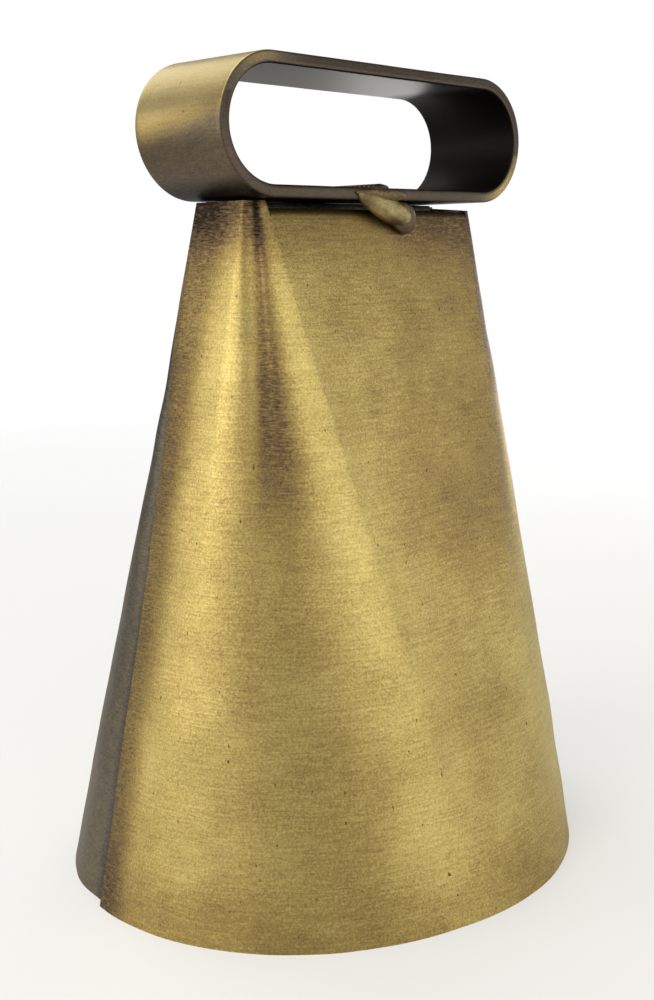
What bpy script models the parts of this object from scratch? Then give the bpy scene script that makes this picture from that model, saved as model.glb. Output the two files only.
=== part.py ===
"""Hand-made cowbell: two lapped sheet shells, a welded strap handle and a hanging clapper.

Metres, +Z up. The bell stands on its mouth at z = 0 with the mouth's centre at the origin.
X runs along the handle, and the front shell faces -Y.
"""
import math

import bmesh
import bpy
from mathutils import Matrix, Vector

# Body
MOUTH_HALF_X = 0.0607
MOUTH_HALF_Y = 0.0560
BODY_HEIGHT = 0.1440
CROWN_LENGTH = 0.0704
CROWN_DEPTH = 0.0188
CROWN_CORNER = 0.0030
CROWN_SHIFT_X = 0.0038
CROWN_SHIFT_Y = -0.0045
SHEET = 0.0012
BEND = 0.0016
WING_RISE = 0.0012
RELIEF = 0.0008
REAR_LEAF_PAST_MIDDLE = 0.0010
GAP = 0.0003

# Where the folds fan out to on the mouth, in degrees round it
SIDE_FAN = 10.0
FACE_FAN = 10.0
LAP_ANGLE = 8.0
JOGGLE_ANGLE = 16.0

# Strap handle
STRAP_WIDTH = 0.0250
STRAP_THICKNESS = 0.0025
LOOP_HEIGHT = 0.0275
LOOP_STRAIGHT = 0.0674
LOOP_END = 0.0145
HANDLE_SHIFT_X = 0.0007
HANDLE_SHIFT_Y = -0.0005
BUTT_GAP = 0.0010

# Beads that hold the strap and close its loop
BEAD_LENGTH = 0.0175
BEAD_HEIGHT = 0.0070
BEAD_DEPTH = 0.0090
BEAD_TILT = 20.0
BEAD_SIDE_STEP = 0.0015
BEAD_SINK = 0.0012
BUTT_BEAD_WIDTH = 0.0046
BUTT_BEAD_HEIGHT = 0.0008
BUTT_BEAD_MARGIN = 0.0010

# Tacks along the lap seams
TACK_HEIGHTS = (0.024, 0.070, 0.116)
TACK_LENGTH = 0.0095
TACK_WIDTH = 0.0060
TACK_DEPTH = 0.0044

# Staple and its collars
STAPLE_WIRE = 0.0030
STAPLE_SPAN = 0.0120
STAPLE_DROP = 0.0140
STAPLE_BEND = 0.0030
COLLAR_RADIUS = 0.0034
COLLAR_HEIGHT = 0.0022

# Link
LINK_WIRE = 0.0025
LINK_INSIDE_WIDTH = 0.0080
LINK_INSIDE_HEIGHT = 0.0130

# Clapper
ROD_WIRE = 0.0035
EYE_INSIDE_RADIUS = 0.0035
EYE_NECK_RADIUS = 0.0040
EYE_END_ANGLE = 325.0
BALL_RADIUS = 0.0110
BALL_HEIGHT = 0.0225
BALL_FLAT_RADIUS = 0.0042
PEEN_RADIUS = 0.0030
PEEN_FOOT_RADIUS = 0.0021
PEEN_HEIGHT = 0.0018

# Mesh fineness, and the steps that slopes are measured over
ANGLE_PROBE = 0.05
HEIGHT_PROBE = 0.0005
SAME_ANGLE = 1e-6
TACK_REACH_ANGLE = 12.0
WALL_ROWS = 6
BEND_ROWS = 4
LEAF_ROWS = 2
CORNER_STEP = 5.0
WIRE_SIDES = 12
STRAP_END_STEPS = 18

STRAP_BOTTOM = BODY_HEIGHT + SHEET + 2.0 * GAP
HANDLE_X = CROWN_SHIFT_X + HANDLE_SHIFT_X
HANDLE_Y = CROWN_SHIFT_Y + HANDLE_SHIFT_Y
LAP_INSET = SHEET + GAP
REAR_TOP = BODY_HEIGHT + LAP_INSET
STAPLE_Z = BODY_HEIGHT - SHEET - GAP - STAPLE_DROP
LINK_TOP_Z = STAPLE_Z + STAPLE_WIRE / 2.0 + GAP + LINK_WIRE / 2.0
LINK_BOTTOM_Z = LINK_TOP_Z - LINK_INSIDE_HEIGHT - LINK_WIRE


def clear_scene():
    """Empty the file of objects."""
    for item in list(bpy.data.objects):
        bpy.data.objects.remove(item, do_unlink=True)


def linear_channel(value):
    """One sRGB channel, 0 to 1, as linear light."""
    return value / 12.92 if value <= 0.04045 else ((value + 0.055) / 1.055) ** 2.4


def make_material(name, colour, roughness, metallic):
    """Principled material from an sRGB hex colour."""
    material = bpy.data.materials.new(name)
    material.use_nodes = True
    shader = material.node_tree.nodes["Principled BSDF"]
    channels = [linear_channel(int(colour[k:k + 2], 16) / 255.0) for k in (0, 2, 4)]
    shader.inputs["Base Color"].default_value = (*channels, 1.0)
    shader.inputs["Roughness"].default_value = roughness
    shader.inputs["Metallic"].default_value = metallic
    return material


def add_object(name, points, faces, material, origin=(0.0, 0.0, 0.0)):
    """Object with its own mesh, its origin at the given world point."""
    mesh = bpy.data.meshes.new(name)
    base = Vector(origin)
    mesh.from_pydata([Vector(point) - base for point in points], [], faces)
    mesh.materials.append(material)
    mesh.update()
    piece = bpy.data.objects.new(name, mesh)
    piece.location = base
    bpy.context.collection.objects.link(piece)
    return piece


def shade_round(piece, angle=40.0):
    """Smooth shading that keeps edges sharper than the angle."""
    piece.data.shade_smooth()
    piece.data.set_sharp_from_angle(angle=math.radians(angle))


def cut_with(piece, cutter):
    """Take a hidden cutter's shape out of a piece."""
    cutter.hide_render = True
    cutter.display_type = "WIRE"
    cut = piece.modifiers.new("cut_" + cutter.name, "BOOLEAN")
    cut.operation = "DIFFERENCE"
    cut.solver = "EXACT"
    cut.object = cutter


# --- Body surface: straight lines from a rounded-rectangle crown to an oval mouth ---

def angle_from_side(angle):
    """How far a mouth angle is from the nearer end of the X axis, 0 to 90 degrees."""
    turn = math.radians(angle)
    return math.degrees(math.atan2(abs(math.sin(turn)), abs(math.cos(turn))))


def no_inset(angle):
    """The outer skin: nothing is drawn in."""
    return 0.0


def lap_inset(angle):
    """The rear shell is drawn in where it laps, and comes out flush over the joggle beside it."""
    share = (SIDE_FAN + JOGGLE_ANGLE - angle_from_side(angle)) / JOGGLE_ANGLE
    share = min(max(share, 0.0), 1.0)
    return LAP_INSET * share * share * (3.0 - 2.0 * share)


def crown_point(angle, inset_x, grow):
    """Crown outline at a mouth angle: flats take the fan angles beside each axis, arcs the rest."""
    turn = math.radians(angle)
    side = math.copysign(1.0, math.cos(turn))
    face = math.copysign(1.0, math.sin(turn))
    folded = angle_from_side(angle)
    half_x = CROWN_LENGTH / 2.0 - inset_x + grow
    half_y = CROWN_DEPTH / 2.0 + grow
    corner = CROWN_CORNER + grow
    if folded <= SIDE_FAN:
        x, y = half_x, (half_y - corner) * folded / SIDE_FAN
    elif folded >= 90.0 - FACE_FAN:
        x, y = (half_x - corner) * (90.0 - folded) / FACE_FAN, half_y
    else:
        arc = math.radians(90.0 * (folded - SIDE_FAN) / (90.0 - FACE_FAN - SIDE_FAN))
        x = half_x - corner + corner * math.cos(arc)
        y = half_y - corner + corner * math.sin(arc)
    return Vector((side * x + CROWN_SHIFT_X, face * y + CROWN_SHIFT_Y))


def mouth_point(angle, inset_x, grow):
    """Mouth outline: an ellipse."""
    turn = math.radians(angle)
    x = (MOUTH_HALF_X - inset_x + grow) * math.cos(turn)
    y = (MOUTH_HALF_Y + grow) * math.sin(turn)
    return Vector((x, y))


def wall_point(angle, height, inset=no_inset, grow=0.0):
    """Outer wall point at an angle and a height, on the straight line from crown to mouth."""
    share = 1.0 - height / BODY_HEIGHT
    drawn_in = inset(angle)
    flat = crown_point(angle, drawn_in, grow).lerp(mouth_point(angle, drawn_in, grow), share)
    return Vector((flat.x, flat.y, height))


def level_step(angle, height, depth, inset=no_inset):
    """Level step inwards that moves a wall point by a depth measured square to the wall."""
    turn, rise = ANGLE_PROBE, HEIGHT_PROBE
    along = wall_point(angle + turn, height, inset) - wall_point(angle - turn, height, inset)
    up = wall_point(angle, height + rise, inset) - wall_point(angle, height - rise, inset)
    normal = along.cross(up).normalized()
    level = Vector((normal.x, normal.y, 0.0))
    return -level.normalized() * depth / level.length


def spread(first, last, step):
    """Even angles from first to last, both included, no further apart than step."""
    count = max(1, math.ceil(abs(last - first) / step - 1e-9))
    return [first + (last - first) * k / count for k in range(count + 1)]


def shell_columns(start, end, face_centre):
    """Angles of a shell's columns: start, side fan, corner, face with its two reliefs, and back."""
    notch = FACE_FAN * RELIEF / (CROWN_LENGTH / 2.0 - CROWN_CORNER)
    low, high = face_centre - FACE_FAN, face_centre + FACE_FAN
    side_low, side_high = face_centre - 90.0 + SIDE_FAN, face_centre + 90.0 - SIDE_FAN
    runs = [spread(side_low, low, CORNER_STEP), spread(low, low + notch, CORNER_STEP),
            spread(low + notch, high - notch, CORNER_STEP / 2.0),
            spread(high - notch, high, CORNER_STEP), spread(high, side_high, CORNER_STEP)]
    if start < side_low:
        runs.insert(0, spread(start, side_low, CORNER_STEP))
    if end > side_high:
        runs.append(spread(side_high, end, CORNER_STEP))
    columns = [runs[0][0]]
    for run in runs:
        columns += run[1:]
    return columns, low, high, notch


def closed_sheet(outer, inner, faces):
    """Points and faces of a closed solid from two matching skins, with a rim round every free edge."""
    count = len(outer)
    seen = {}
    for face in faces:
        for a, b in zip(face, face[1:] + face[:1]):
            seen[(a, b)] = True
    rims = [(b, a, a + count, b + count) for a, b in seen if (b, a) not in seen]
    back = [tuple(k + count for k in reversed(face)) for face in faces]
    return list(outer) + list(inner), [tuple(face) for face in faces] + back + rims


def bezier(first, control, last, share):
    """Point on a quadratic curve."""
    return first.lerp(control, share).lerp(control.lerp(last, share), share)


def build_shell(name, start, end, face_centre, inset, top, ends_y, edge_rise, material):
    """A sheet bent round one half of the bell, its long top edge folded over into a level leaf.

    ends_y is the world y that the leaf reaches. edge_rise gives how far above the crown plane the
    edge beside the leaf stands, for a wall point on it.
    """
    columns, low, high, notch = shell_columns(start, end, face_centre)
    outer, inner, place = [], [], {}

    def put(column, row, outer_point, inner_point):
        place[(column, row)] = len(outer)
        outer.append(outer_point)
        inner.append(inner_point)

    last_row = WALL_ROWS
    for column, angle in enumerate(columns):
        for row in range(WALL_ROWS + 1):
            height = (top - BEND) * row / WALL_ROWS
            point = wall_point(angle, height, inset)
            put(column, row, point, point + level_step(angle, height, SHEET, inset))
        base = wall_point(angle, top - BEND, inset)
        base_in = base + level_step(angle, top - BEND, SHEET, inset)
        on_leaf = low + notch - SAME_ANGLE <= angle <= high - notch + SAME_ANGLE
        if on_leaf:
            edge = wall_point(angle, top, inset)
            edge_in = edge + level_step(angle, top, SHEET, inset) - Vector((0.0, 0.0, SHEET))
            inward = math.copysign(1.0, ends_y - edge.y)
            start_leaf = edge + Vector((0.0, inward * (BEND + SHEET), 0.0))
            start_in = start_leaf - Vector((0.0, 0.0, SHEET))
            for step in range(1, BEND_ROWS + 1):
                share = step / BEND_ROWS
                put(column, last_row + step, bezier(base, edge, start_leaf, share),
                    bezier(base_in, edge_in, start_in, share))
            for step in range(1, LEAF_ROWS + 1):
                y = start_leaf.y + (ends_y - start_leaf.y) * step / LEAF_ROWS
                point = Vector((start_leaf.x, y, top))
                put(column, last_row + BEND_ROWS + step, point, point - Vector((0.0, 0.0, SHEET)))
        elif angle <= low + SAME_ANGLE or angle >= high - SAME_ANGLE:
            height = BODY_HEIGHT + edge_rise(wall_point(angle, BODY_HEIGHT, inset))
            point = wall_point(angle, height, inset)
            put(column, last_row + 1, point, point + level_step(angle, height, SHEET, inset))

    faces = []
    for column in range(len(columns) - 1):
        for row in range(last_row + BEND_ROWS + LEAF_ROWS):
            ring = ((column, row), (column + 1, row), (column + 1, row + 1), (column, row + 1))
            if all(key in place for key in ring) and not crosses_relief(columns, column, row, low, high):
                faces.append(tuple(place[key] for key in ring))
    points, faces = closed_sheet(outer, inner, faces)
    shell = add_object(name, points, faces, material)
    shade_round(shell, 30.0)
    return shell


def crosses_relief(columns, column, row, low, high):
    """True above the wall in the two narrow columns between the leaf and its neighbours."""
    left, right = columns[column], columns[column + 1]
    narrow = abs(left - low) < SAME_ANGLE or abs(right - high) < SAME_ANGLE
    return narrow and row >= WALL_ROWS


def wing_rise(point):
    """The front shell's sides rise from nothing at the front corners to their full rise at the back."""
    share = (point.y - CROWN_SHIFT_Y + CROWN_DEPTH / 2.0) / (CROWN_DEPTH - CROWN_CORNER)
    return WING_RISE * min(max(share, 0.0), 1.0)


def even_rise(point):
    """The rear shell's ends stand level with the back of the front shell's sides."""
    return WING_RISE


def build_shells(material_front, material_rear):
    """Front shell outside, rear shell lapped inside it, and their two leaves over each other."""
    leaf_stop = CROWN_SHIFT_Y + CROWN_DEPTH / 2.0 - SHEET - 2.0 * GAP
    front = build_shell("front_shell", 180.0 - SIDE_FAN, 360.0 + SIDE_FAN, 270.0, no_inset,
                        BODY_HEIGHT, leaf_stop, wing_rise, material_front)
    rear = build_shell("rear_shell", SIDE_FAN - LAP_ANGLE, 180.0 - SIDE_FAN + LAP_ANGLE, 90.0,
                       lap_inset, REAR_TOP, CROWN_SHIFT_Y + REAR_LEAF_PAST_MIDDLE, even_rise,
                       material_rear)
    return front, rear


def wall_band(name, angles, heights, inset, outward, inward, material):
    """Closed band that follows the wall, from an outward to an inward distance from its outside."""
    outer, inner = [], []
    for angle in angles:
        for height in heights:
            point = wall_point(angle, height, inset)
            outer.append(point - level_step(angle, height, outward, inset))
            inner.append(point + level_step(angle, height, inward, inset))
    rows = len(heights)
    faces = []
    for column in range(len(angles) - 1):
        for row in range(rows - 1):
            first = column * rows + row
            faces.append((first, first + rows, first + rows + 1, first + 1))
    points, faces = closed_sheet(outer, inner, faces)
    return add_object(name, points, faces, material)


# --- Handle ---

def loop_outline(inward):
    """Loop seen from the front: straight runs and half-ellipse ends, from one butt end to the other."""
    rise = LOOP_HEIGHT / 2.0
    half = LOOP_STRAIGHT / 2.0
    points = [(BUTT_GAP / 2.0, -rise + inward)]
    for side, first in ((1.0, -90.0), (-1.0, 90.0)):
        for angle in spread(first, first + 180.0, 180.0 / STRAP_END_STEPS):
            turn = math.radians(angle)
            x = side * half + (LOOP_END - inward) * math.cos(turn)
            points.append((x, (rise - inward) * math.sin(turn)))
    points.append((-BUTT_GAP / 2.0, -rise + inward))
    return points


def build_strap(material):
    """Flat bar bent round on itself, its two ends meeting in the middle of the bottom run."""
    middle = STRAP_BOTTOM + LOOP_HEIGHT / 2.0
    outside = loop_outline(0.0)
    inside = loop_outline(STRAP_THICKNESS)
    outer, inner = [], []
    for (x_out, z_out), (x_in, z_in) in zip(outside, inside):
        for side in (-1.0, 1.0):
            y = HANDLE_Y + side * STRAP_WIDTH / 2.0
            outer.append(Vector((HANDLE_X + x_out, y, middle + z_out)))
            inner.append(Vector((HANDLE_X + x_in, y, middle + z_in)))
    faces = [(2 * k, 2 * k + 1, 2 * k + 3, 2 * k + 2) for k in range(len(outside) - 1)]
    points, faces = closed_sheet(outer, inner, faces)
    strap = add_object("handle_strap", points, faces, material)
    shade_round(strap, 30.0)
    return strap


def tilted_ellipsoid(name, size, centre, axes, material, rings=12, sides=20):
    """Closed ellipsoid of full size (length, width, height) along three given directions."""
    points = []
    for ring in range(1, rings):
        polar = math.pi * ring / rings
        for side in range(sides):
            turn = 2.0 * math.pi * side / sides
            local = (math.cos(polar), math.sin(polar) * math.cos(turn), math.sin(polar) * math.sin(turn))
            points.append(ellipsoid_point(local, size, centre, axes))
    points.append(ellipsoid_point((1.0, 0.0, 0.0), size, centre, axes))
    points.append(ellipsoid_point((-1.0, 0.0, 0.0), size, centre, axes))
    first_pole, last_pole = len(points) - 2, len(points) - 1
    faces = []
    for side in range(sides):
        following = (side + 1) % sides
        faces.append((first_pole, side, following))
        for ring in range(rings - 2):
            here, below = ring * sides, (ring + 1) * sides
            faces.append((here + side, below + side, below + following, here + following))
        base = (rings - 2) * sides
        faces.append((base + following, base + side, last_pole))
    piece = add_object(name, points, faces, material)
    outward_faces(piece)
    shade_round(piece)
    return piece


def ellipsoid_point(local, size, centre, axes):
    """A unit-sphere point stretched to the size and turned onto the axes."""
    point = Vector(centre)
    for share, length, axis in zip(local, size, axes):
        point = point + Vector(axis) * (share * length / 2.0)
    return point


def outward_faces(piece):
    """Make every face of a closed mesh point out."""
    work = bmesh.new()
    work.from_mesh(piece.data)
    bmesh.ops.recalc_face_normals(work, faces=work.faces)
    work.to_mesh(piece.data)
    work.free()


def add_box(name, low, high, material):
    """Closed box between two corners."""
    points = [(x, y, z) for x in (low[0], high[0]) for y in (low[1], high[1]) for z in (low[2], high[2])]
    faces = [(0, 1, 3, 2), (4, 6, 7, 5), (0, 4, 5, 1), (2, 3, 7, 6), (0, 2, 6, 4), (1, 5, 7, 3)]
    return add_object(name, points, faces, material)


def build_handle_beads(material):
    """One bead at the front and one at the back, run from the strap's edge down onto the crown."""
    bottom = STRAP_BOTTOM
    half_width = STRAP_WIDTH / 2.0
    strap_room = add_box("strap_room",
                         (HANDLE_X - LOOP_STRAIGHT / 2.0, HANDLE_Y - half_width - GAP, bottom - GAP),
                         (HANDLE_X + LOOP_STRAIGHT / 2.0, HANDLE_Y + half_width + GAP,
                          bottom + LOOP_HEIGHT / 2.0), material)
    angles = spread(0.0, 360.0, CORNER_STEP)[:-1]
    heights = (BODY_HEIGHT - 2.0 * BEAD_LENGTH, bottom + GAP)
    ring = len(angles)
    points = [wall_point(angle, height, no_inset, GAP + BEND / 4.0) for height in heights for angle in angles]
    faces = [(k, (k + 1) % ring, ring + (k + 1) % ring, ring + k) for k in range(ring)]
    faces += [tuple(reversed(range(ring))), tuple(range(ring, 2 * ring))]
    body_room = add_object("body_room", points, faces, material)
    tilt = math.radians(BEAD_TILT)
    beads = []
    for name, facing in (("handle_front_weld", -1.0), ("handle_rear_weld", 1.0)):
        axes = ((-facing * math.cos(tilt), 0.0, -math.sin(tilt)),
                (-facing * math.sin(tilt), 0.0, math.cos(tilt)), (0.0, 1.0, 0.0))
        centre = (HANDLE_X - facing * BEAD_SIDE_STEP, HANDLE_Y + facing * (half_width - GAP),
                  bottom - BEAD_SINK)
        bead = tilted_ellipsoid(name, (BEAD_LENGTH, BEAD_HEIGHT, BEAD_DEPTH), centre, axes, material)
        cut_with(bead, strap_room)
        cut_with(bead, body_room)
        beads.append(bead)
    return beads


def build_butt_bead(material):
    """Low bead across the strap, over the joint of its two ends."""
    rows = 8
    base = STRAP_BOTTOM + STRAP_THICKNESS + GAP
    half_length = STRAP_WIDTH / 2.0 - BUTT_BEAD_MARGIN
    section = [(BUTT_BEAD_WIDTH / 2.0 * math.cos(math.pi * k / rows),
                BUTT_BEAD_HEIGHT * math.sin(math.pi * k / rows)) for k in range(rows + 1)]
    points = [(HANDLE_X + x, HANDLE_Y + side * half_length, base + z)
              for side in (-1.0, 1.0) for x, z in section]
    count = rows + 1
    faces = [(k, k + count, k + 1 + count, k + 1) for k in range(rows)]
    faces.append((0, rows, rows + count, count))
    faces += [tuple(range(count)), tuple(reversed(range(count, 2 * count)))]
    bead = add_object("handle_closing_weld", points, faces, material)
    outward_faces(bead)
    shade_round(bead)
    return bead


def build_seam_tacks(material):
    """Tacks in the corner between the rear shell's edges and the inside of the front shell."""
    tacks = []
    for label, sign, edge in (("left", 1.0, 180.0 - SIDE_FAN + LAP_ANGLE),
                              ("right", -1.0, SIDE_FAN - LAP_ANGLE)):
        gap_angle = math.degrees(GAP / MOUTH_HALF_Y)
        for number, height in enumerate(TACK_HEIGHTS, start=1):
            name = f"seam_tack_{label}_{number}"
            levels = (height - TACK_LENGTH, height, height + TACK_LENGTH)
            angles = spread(edge - TACK_REACH_ANGLE, edge + TACK_REACH_ANGLE, CORNER_STEP / 2.0)
            front_room = wall_band("front_room_" + name, angles, levels, no_inset, SHEET, SHEET + GAP,
                                   material)
            lap_angles = sorted((edge - sign * TACK_REACH_ANGLE, edge + sign * gap_angle_at(height, gap_angle)))
            lap_room = wall_band("lap_room_" + name, spread(*lap_angles, CORNER_STEP / 2.0), levels,
                                 lap_inset, GAP, SHEET + GAP, material)
            seat = wall_point(edge, height) + level_step(edge, height, SHEET + GAP)
            along = (wall_point(edge, height + SHEET) - wall_point(edge, height)).normalized()
            inward = level_step(edge, height, 1.0).normalized()
            across = inward.cross(along).normalized()
            inward = along.cross(across).normalized()
            tack = tilted_ellipsoid(name, (TACK_LENGTH, TACK_WIDTH, TACK_DEPTH), seat,
                                    (along, across, inward), material, 10, 16)
            cut_with(tack, front_room)
            cut_with(tack, lap_room)
            tacks.append(tack)
    return tacks


def gap_angle_at(height, gap_angle):
    """The angle that spans the gap where the wall is narrower than at the mouth."""
    width = wall_point(270.0, height).y / wall_point(270.0, 0.0).y
    return gap_angle / width


# --- Clapper train ---

def tube(name, path, radius, plane_normal, closed, material, origin):
    """Round wire along a flat path, its ends filled when the path is open."""
    count = len(path)
    normal = Vector(plane_normal)
    points = []
    for k, point in enumerate(path):
        before = path[k - 1] if closed or k > 0 else point
        after = path[(k + 1) % count] if closed or k < count - 1 else point
        tangent = (after - before).normalized()
        side = tangent.cross(normal).normalized()
        for step in range(WIRE_SIDES):
            turn = 2.0 * math.pi * step / WIRE_SIDES
            points.append(point + radius * (math.cos(turn) * normal + math.sin(turn) * side))
    faces = []
    for k in range(count if closed else count - 1):
        here, there = k * WIRE_SIDES, (k + 1) % count * WIRE_SIDES
        for step in range(WIRE_SIDES):
            following = (step + 1) % WIRE_SIDES
            faces.append((here + step, here + following, there + following, there + step))
    if not closed:
        faces.append(tuple(range(WIRE_SIDES)))
        faces.append(tuple(range((count - 1) * WIRE_SIDES, count * WIRE_SIDES)))
    piece = add_object(name, points, faces, material, origin)
    outward_faces(piece)
    shade_round(piece)
    return piece


def turned(name, profile, centre, sides, material, origin):
    """Solid of revolution about a vertical line from a closed profile of (radius, height)."""
    points = []
    for step in range(sides):
        turn = 2.0 * math.pi * step / sides
        for radius, height in profile:
            points.append((centre[0] + radius * math.cos(turn), centre[1] + radius * math.sin(turn), height))
    rows = len(profile)
    faces = []
    for step in range(sides):
        here, there = step * rows, (step + 1) % sides * rows
        for row in range(rows):
            following = (row + 1) % rows
            faces.append((here + row, there + row, there + following, here + following))
    piece = add_object(name, points, faces, material, origin)
    outward_faces(piece)
    shade_round(piece)
    return piece


def arc_points(centre, radius, first, last, steps):
    """Points of an arc in a plane, angles in degrees, both ends included."""
    return [(centre[0] + radius * math.cos(math.radians(first + (last - first) * k / steps)),
             centre[1] + radius * math.sin(math.radians(first + (last - first) * k / steps)))
            for k in range(steps + 1)]


def build_staple(material):
    """U of wire below the crown: two legs, two bends and a straight bottom run along X."""
    half = STAPLE_SPAN / 2.0
    top = BODY_HEIGHT - SHEET - GAP
    flat = [(-half, top)]
    flat += arc_points((-half + STAPLE_BEND, STAPLE_Z + STAPLE_BEND), STAPLE_BEND, 180.0, 270.0, 6)
    flat += arc_points((half - STAPLE_BEND, STAPLE_Z + STAPLE_BEND), STAPLE_BEND, 270.0, 360.0, 6)
    flat.append((half, top))
    path = [Vector((CROWN_SHIFT_X + x, CROWN_SHIFT_Y, z)) for x, z in flat]
    return tube("clapper_staple", path, STAPLE_WIRE / 2.0, (0.0, 1.0, 0.0), False, material,
                (CROWN_SHIFT_X, CROWN_SHIFT_Y, STAPLE_Z))


def build_collars(material):
    """Braze collar round the top of each leg of the staple."""
    top = BODY_HEIGHT - SHEET - GAP
    bore = STAPLE_WIRE / 2.0 + GAP
    neck = bore + (COLLAR_RADIUS - bore) / 3.0
    waist = bore + (COLLAR_RADIUS - bore) / 2.0
    profile = [(bore, top), (bore, top - COLLAR_HEIGHT), (neck, top - COLLAR_HEIGHT),
               (waist, top - COLLAR_HEIGHT / 2.0), (COLLAR_RADIUS, top - GAP), (COLLAR_RADIUS, top)]
    collars = []
    for name, side in (("staple_braze_left", -1.0), ("staple_braze_right", 1.0)):
        centre = (CROWN_SHIFT_X + side * STAPLE_SPAN / 2.0, CROWN_SHIFT_Y)
        collars.append(turned(name, profile, centre, 16, material, (*centre, top)))
    return collars


def build_link(material):
    """Closed oval link in the YZ plane, its top bow over the staple's bottom run."""
    radius = (LINK_INSIDE_WIDTH + LINK_WIRE) / 2.0
    flat = arc_points((0.0, LINK_TOP_Z - radius), radius, 0.0, 180.0, 10)
    flat += arc_points((0.0, LINK_BOTTOM_Z + radius), radius, 180.0, 360.0, 10)
    path = [Vector((CROWN_SHIFT_X, CROWN_SHIFT_Y + y, z)) for y, z in flat]
    return tube("clapper_link", path, LINK_WIRE / 2.0, (1.0, 0.0, 0.0), True, material,
                (CROWN_SHIFT_X, CROWN_SHIFT_Y, STAPLE_Z))


def build_rod(material):
    """Wire rod: an eye round the link's bottom bow, a neck, a straight shank and a peened foot."""
    wire = ROD_WIRE / 2.0
    ring = EYE_INSIDE_RADIUS + wire
    eye_z = LINK_BOTTOM_Z + LINK_WIRE / 2.0 + GAP + wire - ring
    reach = ring + EYE_NECK_RADIUS
    neck_z = eye_z - math.sqrt(reach ** 2 - EYE_NECK_RADIUS ** 2)
    join = math.degrees(math.asin(EYE_NECK_RADIUS / reach))
    foot = BALL_HEIGHT - math.sqrt(BALL_RADIUS ** 2 - BALL_FLAT_RADIUS ** 2) - GAP - PEEN_HEIGHT
    flat = [(0.0, foot)]
    flat += arc_points((EYE_NECK_RADIUS, neck_z), EYE_NECK_RADIUS, 180.0, 90.0 + join, 5)
    flat += arc_points((0.0, eye_z), ring, -90.0 + join, -90.0 + EYE_END_ANGLE, 24)[1:]
    path = [Vector((CROWN_SHIFT_X + x, CROWN_SHIFT_Y, z)) for x, z in flat]
    origin = (CROWN_SHIFT_X, CROWN_SHIFT_Y, LINK_BOTTOM_Z)
    rod = tube("clapper_rod", path, wire, (0.0, 1.0, 0.0), False, material, origin)
    overlap = PEEN_HEIGHT / 4.0
    profile = [(0.0, foot - overlap), (PEEN_FOOT_RADIUS, foot - overlap), (PEEN_RADIUS, foot + overlap),
               (PEEN_RADIUS, foot + PEEN_HEIGHT)]
    head = capped_turning("peened_head", profile, (CROWN_SHIFT_X, CROWN_SHIFT_Y), 16, material)
    join_head = rod.modifiers.new("peened_foot", "BOOLEAN")
    join_head.operation = "UNION"
    join_head.solver = "EXACT"
    join_head.object = head
    head.hide_render = True
    head.display_type = "WIRE"
    return rod


def capped_turning(name, profile, centre, sides, material):
    """Turned solid whose profile starts on the axis; its top is closed flat."""
    rings = profile[1:]
    points = [(centre[0], centre[1], profile[0][1])]
    for radius, height in rings:
        for step in range(sides):
            turn = 2.0 * math.pi * step / sides
            points.append((centre[0] + radius * math.cos(turn), centre[1] + radius * math.sin(turn), height))
    faces = []
    for step in range(sides):
        following = (step + 1) % sides
        faces.append((0, 1 + following, 1 + step))
        for row in range(len(rings) - 1):
            here, there = 1 + row * sides, 1 + (row + 1) * sides
            faces.append((here + step, here + following, there + following, there + step))
    faces.append(tuple(range(1 + (len(rings) - 1) * sides, 1 + len(rings) * sides)))
    piece = add_object(name, points, faces, material)
    outward_faces(piece)
    return piece


def build_ball(material):
    """Ball with a bore for the rod and a small flat at each end of the bore."""
    bore = ROD_WIRE / 2.0 + GAP
    flat_angle = math.degrees(math.asin(BALL_FLAT_RADIUS / BALL_RADIUS))
    outline = arc_points((0.0, BALL_HEIGHT), BALL_RADIUS, -90.0 + flat_angle, 90.0 - flat_angle, 14)
    lowest, highest = outline[0][1], outline[-1][1]
    profile = [(bore, highest), (bore, lowest)] + outline
    origin = (CROWN_SHIFT_X, CROWN_SHIFT_Y, BALL_HEIGHT)
    return turned("clapper_ball", profile, origin[:2], 28, material, origin)


def parent_keeping_place(child, parent):
    """Parent a piece without moving it."""
    bpy.context.view_layer.update()
    child.parent = parent
    child.matrix_parent_inverse = Matrix(parent.matrix_world).inverted()


def build_cowbell():
    """Every piece of the bell, the clapper train parented down from the staple."""
    clear_scene()
    shell_finish = make_material("antique_brass_shell", "B4A060", 0.38, 1.0)
    rear_finish = make_material("antique_brass_rear", "A79A6C", 0.40, 1.0)
    strap_finish = make_material("antique_brass_strap", "AE9A5C", 0.36, 1.0)
    bead_finish = make_material("weld_bead", "9A8A54", 0.45, 1.0)
    braze_finish = make_material("braze", "A8854A", 0.50, 1.0)
    wire_finish = make_material("dark_wire", "6E6048", 0.50, 1.0)
    ball_finish = make_material("cast_ball", "5A5040", 0.60, 1.0)
    build_shells(shell_finish, rear_finish)
    build_strap(strap_finish)
    build_handle_beads(bead_finish)
    build_butt_bead(bead_finish)
    build_seam_tacks(braze_finish)
    staple = build_staple(wire_finish)
    build_collars(braze_finish)
    link = build_link(wire_finish)
    rod = build_rod(wire_finish)
    ball = build_ball(ball_finish)
    parent_keeping_place(link, staple)
    parent_keeping_place(rod, link)
    parent_keeping_place(ball, rod)


build_cowbell()
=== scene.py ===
import math

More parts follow.
